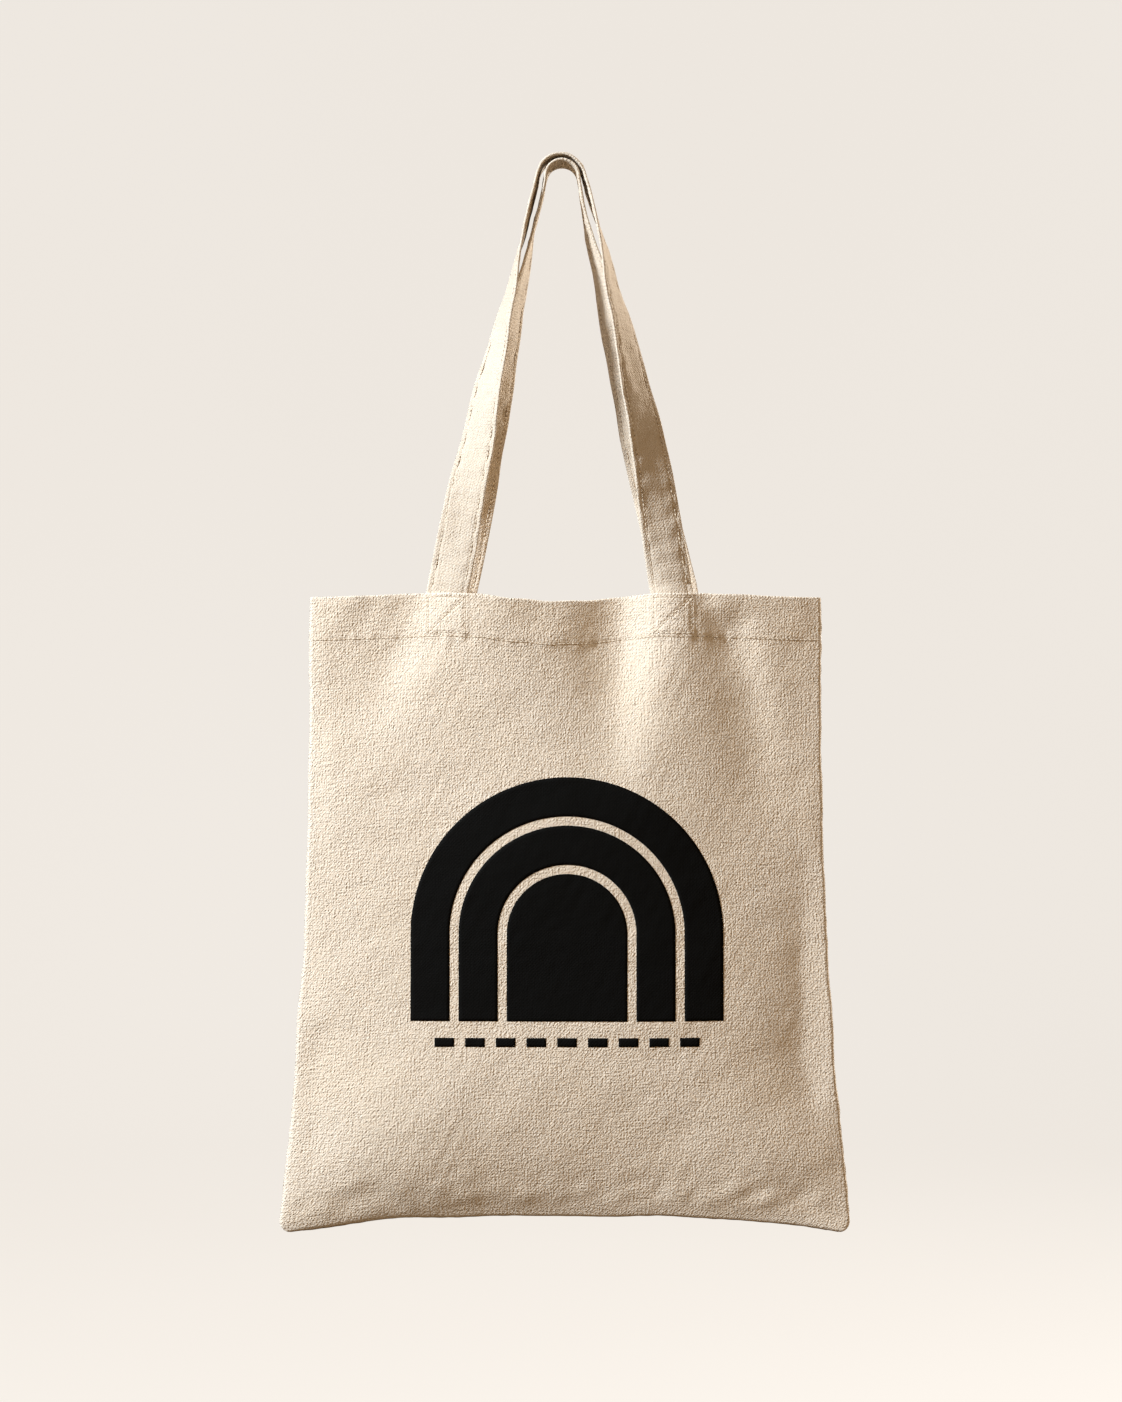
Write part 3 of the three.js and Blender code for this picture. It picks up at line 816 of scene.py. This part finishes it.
def make_bottom_seam():
    u = np.linspace(-0.955, 0.955, 170)
    x, z = outline(u, np.ones_like(u))
    path = np.stack([x, 0 * x, z], axis=-1)
    out = np.tile([0.0, 0.0, -1.0], (len(u), 1))
    return strip_piece("bottom_seam_allowance", path, out, 9.0, 0.6, SEAM_STRIP, 5)


for piece, node in (
    (make_side_seam(LEFT), "left_side_seam"),
    (make_side_seam(RIGHT), "right_side_seam"),
    (make_bottom_seam(), "bottom_seam"),
):
    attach(piece, "bag")
    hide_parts(node)


# ---- handles ---------------------------------------------
# A handle is one flat strap. Each leg is sewn flat inside the hem and makes a quarter turn on
# its way up to the hook.

HANDLES = {
    FRONT: {"crown": UPPER_CROWN, "slope": {LEFT: 0.245, RIGHT: 0.285}},
    BACK: {"crown": LOWER_CROWN, "slope": {LEFT: 0.225, RIGHT: 0.235}},
}
TURN_END_Z = {LEFT: -45.0, RIGHT: -25.0}
LEG_STEPS = 104
CROWN_STEPS = 21
SEWN_DROPS = np.linspace(END_LENGTH, 0.5, 12)
LIFT_OFF = 45.0  # the strap keeps some of the hem's shape this far above the rim


def unit(vector):
    return vector / np.linalg.norm(vector)


def leg_points(side, hand):
    """The three points of the leg's curve, from the rim to the crown."""
    crown, slope = HANDLES[side]["crown"], HANDLES[side]["slope"][hand]
    tilt = math.atan(slope)
    top = np.array([hand * crown * math.cos(tilt), 0.0, crown * math.sin(tilt) - HOOK_RADIUS])
    bend = np.array([top[0] + hand * slope * (top[2] - LEG_BEND_Z), side * LEG_BOW, LEG_BEND_Z])
    foot_y = PANEL_EDGE + float(bulge(FOOT_X / RIM_HALF_WIDTH, 0)) - END_DEPTH - STRAP_THICKNESS / 2
    foot = np.array([hand * STRAP_FOOT_X + SHIFT[side], side * foot_y, STRAP_FOOT_Z])
    return foot, bend, top


def leg_stations(side, hand):
    """Centre, way on and way across at even steps up the leg, for a strap that runs upward."""
    foot, bend, top = leg_points(side, hand)
    stations = []
    end_x = hand * FOOT_X + SHIFT[side]
    for drop in SEWN_DROPS:
        sewn = hem_place(side, end_x, drop, END_DEPTH + STRAP_THICKNESS / 2)
        reach = hem_place(side, end_x - hand * 6, drop, END_DEPTH + STRAP_THICKNESS / 2)
        stations.append((sewn, np.array([0, 0, 1.0]), unit(reach - sewn)))
    for i in range(LEG_STEPS):
        t = i / LEG_STEPS
        centre = (1 - t) ** 2 * foot + 2 * t * (1 - t) * bend + t * t * top
        upward = unit(2 * (1 - t) * (bend - foot) + 2 * t * (top - bend))
        rise = min((centre[2] - STRAP_FOOT_Z) / (TURN_END_Z[hand] - STRAP_FOOT_Z), 1)
        turn = math.pi / 2 * rise
        square = min(i / 6, 1)
        flat = unit(np.array([-hand, 0.0, 0.0]) + upward * hand * upward[0] * square)
        edgewise = np.cross(flat, upward) * hand * side
        across = flat * math.cos(turn) + edgewise * math.sin(turn)
        stations.append((centre, upward, across))
    return stations


def strap_stations(side):
    stations = list(leg_stations(side, LEFT))
    crown = HANDLES[side]["crown"]
    start, end = (math.atan(HANDLES[side]["slope"][hand]) for hand in (LEFT, RIGHT))
    for share in np.linspace(0, 1, CROWN_STEPS):
        angle = math.pi - start - (math.pi - start - end) * share
        centre = np.array([crown * math.cos(angle), 0.0, crown * math.sin(angle) - HOOK_RADIUS])
        along = np.array([math.sin(angle), 0.0, -math.cos(angle)])
        stations.append((centre, along, np.array([0.0, float(side), 0.0])))
    for centre, upward, across in reversed(leg_stations(side, RIGHT)):
        stations.append((centre, -upward, across))
    centre = np.array([s[0] for s in stations])
    along = np.gradient(centre, axis=0)
    along /= np.linalg.norm(along, axis=1, keepdims=True)
    across = np.array([s[2] for s in stations])
    across -= along * np.sum(across * along, axis=1, keepdims=True)
    across /= np.linalg.norm(across, axis=1, keepdims=True)
    outward = np.cross(across, along) * -side
    # slight unevenness of a sewn strap, none where it is sewn to the hem
    run = np.hstack([0, np.cumsum(np.linalg.norm(np.diff(centre, axis=0), axis=1))])
    free = smooth_step((centre[:, 2] - STRAP_FOOT_Z) / 40)
    centre = centre + outward * (free * 0.30 * ripple(run, 0 * run, 22, 3 + side))[:, None]
    centre = centre + across * (free * 0.2 * ripple(run, 0 * run, 40, 5 + side))[:, None]
    return centre, along, across, outward, run


def strap_places(side, stations, a, high):
    """Places on the strap: a across it and high over its middle layer, a row of them for
    each station."""
    centre, _, across, outward, run = stations
    places = centre[:, None] + across[:, None] * a[..., None] + outward[:, None] * high[..., None]
    sewn = len(SEWN_DROPS)
    for hand, rows, free in (
        (LEFT, np.arange(sewn), np.arange(sewn, len(run) // 2)),
        (RIGHT, len(run) - 1 - np.arange(sewn), np.arange(len(run) // 2, len(run) - sewn)),
    ):
        end_x = hand * FOOT_X + SHIFT[side]
        for row, drop in zip(rows, SEWN_DROPS):
            depth = END_DEPTH + STRAP_THICKNESS / 2 - high[row]
            places[row] = hem_place(side, end_x - hand * a[row], drop, depth)
        edge = hem_place(side, end_x - hand * a[rows[-1]], 0.5, END_DEPTH + STRAP_THICKNESS / 2)
        step_off = edge[:, 1] - centre[rows[-1]][1]
        share = 1 - smooth_step((centre[free, 2] - STRAP_FOOT_Z) / LIFT_OFF)
        places[free, :, 1] += share[:, None] * step_off[None, :]
    return places


STRAP_ROUND = 0.95


def strap_half_thickness(a):
    """Half the strap's thickness at a distance across it: rounded folded edges, and a groove
    along each row of stitches."""
    to_edge = np.clip((np.abs(a) - STRAP_HALF + STRAP_ROUND) / STRAP_ROUND, 0, 1)
    edge = np.sqrt(np.clip(1 - to_edge ** 2, 0, 1))
    groove = 0.42 * bump_at(np.abs(a) - EDGE_STITCH, 0.75)
    return 0.92 * edge * (1 - groove)


HALF_ACROSS = np.array([
    3.0, 5.5, 7.5, 9.0, 9.8, 10.3, 10.75, 11.2, 11.7, 12.4, 13.2, 13.6, 13.95, 14.18, STRAP_HALF,
])
STRAP_ACROSS = np.hstack([-HALF_ACROSS[::-1], 0, HALF_ACROSS])


def strap_curl(side, a, run):
    """The strap isn't quite flat across."""
    return 0.35 * ripple(0 * run, run, 45, 16 + side) * (a / STRAP_HALF) ** 2


def make_strap(side):
    stations = strap_stations(side)
    run = stations[4]
    over = STRAP_ACROSS
    under = STRAP_ACROSS[::-1][1:-1]
    ring_a = np.hstack([over, under])
    ring_h = np.hstack([strap_half_thickness(over), -strap_half_thickness(under)])
    a, s = np.meshgrid(ring_a, run)
    puff = 0.26 * ripple(a, s, 8.0, 14 + side) + 0.07 * ripple(a, s, 3.2, 15 + side)
    puff *= np.clip((STRAP_HALF - np.abs(a)) / 2.5, 0, 1)
    high = ring_h[None, :] + puff + strap_curl(side, a, s)
    verts = strap_places(side, stations, a, high)
    rows, columns = a.shape
    faces = grid_faces(rows, columns, loop=True) + end_caps(rows, columns)
    wear_and_hole_shade = bump_at(STRAP_HALF - np.abs(a), 0.9)
    cloth = np.stack([a + 60 + 80 * side, s], axis=-1).reshape(-1, 2)
    piece = make_object(
        f"{NAME[side]}_strap", verts.reshape(-1, 3), faces, strap_canvas_painted_shade, cloth=cloth, wear_and_hole_shade=wear_and_hole_shade,
    )
    face_out(piece)
    return piece, stations


# ---- stitches --------------------------------------------

def stitch_row(places):
    """Stitches as small rounded lengths of thread, each with a needle hole before it that is
    painted dark as shade. places holds middle, along and out for each one. Gives vertices, faces,
    the place on the thread and how much painted hole shade each vertex has."""
    shares = np.array([-2.05, -1.75, -1.15, -0.88, -0.3, 0.3, 0.82, 0.98])
    sizes = np.array([0.7, 1.08, 1.05, 0.85, 1.0, 1.0, 0.85, 0.4])
    sinks = np.array([-0.60, -0.40, -0.42, -0.12, 0.0, 0.0, -0.12, -0.6])
    # painted shade: how dark each ring is painted, for the shade inside the needle hole
    dark = np.array([1.0, 1.0, 0.95, 0.0, 0.0, 0.0, 0.0, 0.3])
    angles = np.linspace(0, 2 * math.pi, 7)[:-1]
    verts, faces, cloth, holes = [], [], [], []
    for number, (middle, along, out) in enumerate(places):
        aside = np.cross(along, out)
        start = len(verts)
        for share, size, sink, hole in zip(shares, sizes, sinks, dark):
            for angle in angles:
                radius = STITCH_RADIUS * size
                verts.append(
                    middle + along * share * STITCH_LENGTH / 2
                    + aside * radius * 1.1 * math.cos(angle)
                    + out * (radius * 0.85 * math.sin(angle) + sink * STITCH_RADIUS)
                )
                cloth.append((number * 3.1 + share * STITCH_LENGTH / 2, angle / 3))
                holes.append(hole)
        faces += grid_faces(len(shares), len(angles), start, loop=True)
        faces += end_caps(len(shares), len(angles), start)
    return verts, faces, cloth, holes


def stitch_piece(name, places):
    verts, faces, cloth, holes = stitch_row(places)
    piece = make_object(name, np.array(verts), faces, thread, cloth=np.array(cloth), wear_and_hole_shade=holes)
    face_out(piece)
    return piece


def places_along(points, outs):
    """Stitch places at an even pitch along a line of points."""
    points = np.asarray(points)
    run = np.hstack([0, np.cumsum(np.linalg.norm(np.diff(points, axis=0), axis=1))])
    count = max(int(run[-1] / STITCH_PITCH), 1)
    marks = (np.arange(count) + 0.5) * run[-1] / count
    at = np.stack([np.interp(marks, run, points[:, k]) for k in range(3)], axis=-1)
    ahead = np.stack([np.interp(marks + 0.6, run, points[:, k]) for k in range(3)], axis=-1)
    behind = np.stack([np.interp(marks - 0.6, run, points[:, k]) for k in range(3)], axis=-1)
    out = np.stack([np.interp(marks, run, np.asarray(outs)[:, k]) for k in range(3)], axis=-1)
    places = []
    for k in range(count):
        along = unit(ahead[k] - behind[k])
        away = unit(out[k] - along * np.dot(out[k], along))
        places.append((at[k], along, away))
    return places


def hem_line(side, start, end, depth, facing):
    """A line of stitches on the hem, from and to [distance from the middle, drop]."""
    t = np.linspace(0, 1, max(int(math.dist(start, end) / 1.2), 4))
    x = start[0] + t * (end[0] - start[0])
    drop = start[1] + t * (end[1] - start[1])
    points = hem_place(side, x, drop, depth)
    wide = hem_place(side, x + 0.8, drop, depth) - points
    down = hem_place(side, x, drop + 0.8, depth) - points
    outs = np.cross(wide, down)
    outs /= np.linalg.norm(outs, axis=1, keepdims=True)
    outs *= np.sign(outs[:, 1:2]) * side * facing
    return places_along(points, outs)


def box_lines(side, hand, depth, facing):
    """The square of stitches that holds a handle's end, and its diagonal."""
    middle = SHIFT[side] + hand * FOOT_X
    left, right = middle - BOX_HALF_WIDTH, middle + BOX_HALF_WIDTH
    corners = [
        (left, BOX_BOTTOM), (left, BOX_TOP), (right, BOX_TOP), (right, BOX_BOTTOM),
        (left, BOX_BOTTOM),
    ]
    places = []
    for start, end in zip(corners, corners[1:]):
        places += hem_line(side, start, end, depth, facing)
    diagonal = ((left + 1.5, BOX_BOTTOM - 1.5), (right - 1.5, BOX_TOP + 1.5))
    return places + hem_line(side, *diagonal, depth, facing)


def make_hem_stitching(side):
    reach = RIM_HALF_WIDTH - 2.0
    ends = ((BAG_SHIFT - reach, HEM_STITCH_DROP), (BAG_SHIFT + reach, HEM_STITCH_DROP))
    outside = hem_line(side, *ends, -STITCH_SINK, 1)
    inside = hem_line(side, *ends, 2 * CANVAS + LAYER_GAP + STITCH_SINK, -1)
    return stitch_piece(f"{NAME[side]}_hem_stitches", outside + inside)


def make_box_stitching(side, hand):
    outside = box_lines(side, hand, -STITCH_SINK, 1)
    inside = box_lines(side, hand, END_DEPTH + STRAP_THICKNESS + 0.3, -1)
    return stitch_piece(f"{NAME[side]}_{HAND_NAME[hand]}_box_stitches", outside + inside)


def make_edge_stitching(side, edge, stations):
    """The row along one edge of the strap, seen on both of its faces."""
    centre, _, _, outward, run = stations
    a = EDGE_STITCH if edge == "inner" else -EDGE_STITCH
    high = float(strap_half_thickness(np.array([a]))[0]) + 0.12
    free = np.abs(centre[:, 2] - centre[:, 2].max()) < centre[:, 2].max() - RIM_Z - 3
    beside = np.full((len(run), 1), a)
    curl = strap_curl(side, a, run)
    places = []
    for facing in (1, -1):
        row = strap_places(side, stations, beside, (facing * high + curl)[:, None])
        places += places_along(row[free, 0], (outward * facing)[free])
    return stitch_piece(f"{NAME[side]}_strap_{edge}_stitches", places)


for side in (FRONT, BACK):
    strap, stations = make_strap(side)
    ends = [f"{NAME[side]}_{hand}_handle_end" for hand in ("left", "right")]
    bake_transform(strap)
    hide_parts(f"{NAME[side]}_handle_strap", *ends)
    for edge in ("inner", "outer"):
        row = make_edge_stitching(side, edge, stations)
        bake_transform(row)
        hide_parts(f"{NAME[side]}_handle_{edge}_edge_stitch")

    hem_row = make_hem_stitching(side)
    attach(hem_row, "bag")
    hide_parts(f"{NAME[side]}_hem_stitch")
    for hand in (LEFT, RIGHT):
        stitches = make_box_stitching(side, hand)
        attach(stitches, "bag")
        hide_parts(f"{NAME[side]}_{HAND_NAME[hand]}_box_stitch")


# ---- print -----------------------------------------------

INK_HEIGHT = 0.16
INK_THICKNESS = 0.12
INK_SHIFT = 900  # keeps the ink's pattern apart from the canvas's
PRINT_X = (motif_low[0] + motif_high[0]) / 2
ARCH_BASE = motif_low[2]
OUTER_ARCH = (motif_high[0] - motif_low[0]) / 2
ARCH_LEG = motif_high[2] - motif_low[2] - OUTER_ARCH
ARCH_BAND = 26.0
ARCH_GAP = 6.0


def print_patch(name, x, z, node):
    """Ink on the front panel over a grid of places."""
    skin = panel_place(FRONT, x, z, -INK_HEIGHT)
    cloth = np.stack([x, z + INK_SHIFT], axis=-1)
    piece = cloth_shell(name, skin, INK_THICKNESS, cloth, np.zeros(x.shape), ink)
    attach(piece, "bag")
    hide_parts(node)


def arch_grid(outer, inner):
    """Rows along the arch and columns across its band."""
    step = 2.2
    leg = np.linspace(0, ARCH_LEG, int(ARCH_LEG / step) + 1)[:-1]
    arc = np.linspace(math.pi, 0, int(math.pi * outer / step) + 1)
    radii = np.linspace(inner, outer, max(int((outer - inner) / step), 2) + 1)
    rows_x, rows_z = [], []
    for rise in leg:
        rows_x.append(PRINT_X - radii)
        rows_z.append(np.full_like(radii, ARCH_BASE + rise))
    for angle in arc:
        rows_x.append(PRINT_X + radii * math.cos(angle))
        rows_z.append(ARCH_BASE + ARCH_LEG + radii * math.sin(angle))
    for rise in leg[::-1]:
        rows_x.append(PRINT_X + radii)
        rows_z.append(np.full_like(radii, ARCH_BASE + rise))
    return np.array(rows_x), np.array(rows_z)


def heart_grid(radius):
    """The solid arch in the middle: rows from its foot to its top, each as wide as it is."""
    step = 1.6
    rises = np.hstack([
        np.linspace(0, ARCH_LEG, int(ARCH_LEG / step))[:-1],
        ARCH_LEG + radius * np.sin(np.linspace(0, math.pi / 2 - 0.03, int(radius * 1.5 / step))),
    ])
    over = np.clip(rises - ARCH_LEG, 0, radius)
    half = np.sqrt(np.maximum(radius ** 2 - over ** 2, 0.3))
    share = np.linspace(-1, 1, int(2 * radius / 2.0))
    return PRINT_X + half[:, None] * share[None, :], ARCH_BASE + rises[:, None] + 0 * share[None, :]


middle_arch = OUTER_ARCH - ARCH_BAND - ARCH_GAP
heart = middle_arch - ARCH_BAND - ARCH_GAP
print_patch("print_outer", *arch_grid(OUTER_ARCH, OUTER_ARCH - ARCH_BAND), "print_outer_arch")
print_patch("print_middle", *arch_grid(middle_arch, middle_arch - ARCH_BAND), "print_middle_arch")
print_patch("print_inner", *heart_grid(heart), "print_heart")


def make_dashes():
    """A row of short plain dashes under the motif."""
    count = 9
    gap_share = 0.36
    rows, columns = 4, 8
    pitch = (line_high[0] - line_low[0]) / (count - gap_share)
    verts, faces, cloth = [], [], []
    for i in range(count):
        left = line_low[0] + i * pitch
        x, z = np.meshgrid(
            np.linspace(left, left + pitch * (1 - gap_share), columns),
            np.linspace(line_low[2], line_high[2], rows),
        )
        first = len(verts)
        for height, flip in ((INK_THICKNESS / 2, False), (-INK_THICKNESS / 2, True)):
            start = len(verts)
            verts += list(panel_place(FRONT, x, z, -INK_HEIGHT - height).reshape(-1, 3))
            cloth += list(np.stack([x, z + INK_SHIFT], axis=-1).reshape(-1, 2))
            faces += grid_faces(rows, columns, start, flip=flip)
        faces += rim_faces(rows, columns, first)
    wear_and_hole_shade = np.zeros(len(verts))
    piece = make_object("print_dashes", np.array(verts), faces, ink, np.array(cloth), wear_and_hole_shade)
    face_out(piece)
    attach(piece, "bag")
    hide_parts("print_line")


make_dashes()

# ---- floor, backdrop and light ---------------------------

def make_stage():
    """A wide pale floor that curves up into a round backdrop far behind everything."""
    floor_z, floor_radius, curve, top = -1.35, 4.2, 1.6, 5.0
    profile = [(0.0, floor_z), (1.0, floor_z), (2.4, floor_z), (floor_radius, floor_z)]
    for angle in np.linspace(0, math.pi / 2, 17)[1:]:
        profile.append((
            floor_radius + curve * math.sin(angle), floor_z + curve * (1 - math.cos(angle)),
        ))
    profile.append((floor_radius + curve, top))
    around = 96
    verts, faces = [(0.0, 0.0, floor_z)], []
    for radius, height in profile[1:]:
        for k in range(around):
            angle = 2 * math.pi * k / around
            verts.append((radius * math.cos(angle), radius * math.sin(angle), height))
    for k in range(around):
        faces.append((0, 1 + k, 1 + (k + 1) % around))
    for ring in range(len(profile) - 2):
        for k in range(around):
            a = 1 + ring * around + k
            b = 1 + ring * around + (k + 1) % around
            faces.append((a, a + around, b + around, b))
    stage = make_object("stage", np.array(verts) / MM, faces, stage_material())
    stage.visible_diffuse = False
    stage.visible_glossy = False
    stage.visible_shadow = False


def area_light(name, place, target, size, watts, color):
    data = bpy.data.lights.new(name, "AREA")
    data.shape = "DISK"
    data.size = size
    data.energy = watts
    data.color = color
    light = bpy.data.objects.new(name, data)
    light.location = place
    light.rotation_euler = (Vector(target) - Vector(place)).to_track_quat("-Z", "Y").to_euler()
    bpy.context.scene.collection.objects.link(light)


ROOM_COLOR = (1.0, 0.65, 0.33, 1)
ROOM_STRENGTH = 0.155


def make_light():
    world = bpy.data.worlds.new("soft_room")
    world.use_nodes = True
    background = world.node_tree.nodes["Background"]
    background.inputs["Color"].default_value = ROOM_COLOR
    background.inputs["Strength"].default_value = ROOM_STRENGTH
    bpy.context.scene.world = world
    bag_middle = (0.0, 0.0, -0.42)
    area_light("key", (-2.5, -1.25, 1.2), bag_middle, 0.45, 195, (0.86, 0.935, 1.0))
    area_light("window", (-1.3, -2.9, 0.8), bag_middle, 1.8, 16, (1.0, 0.97, 0.94))
    area_light("fill", (1.9, -2.3, 0.1), bag_middle, 2.0, 16, (1.0, 0.67, 0.35))
    area_light("back_key", (2.2, 1.9, 1.0), bag_middle, 0.7, 150, (1.0, 0.94, 0.86))


make_stage()
make_light()
bpy.context.scene.view_settings.view_transform = "Standard"
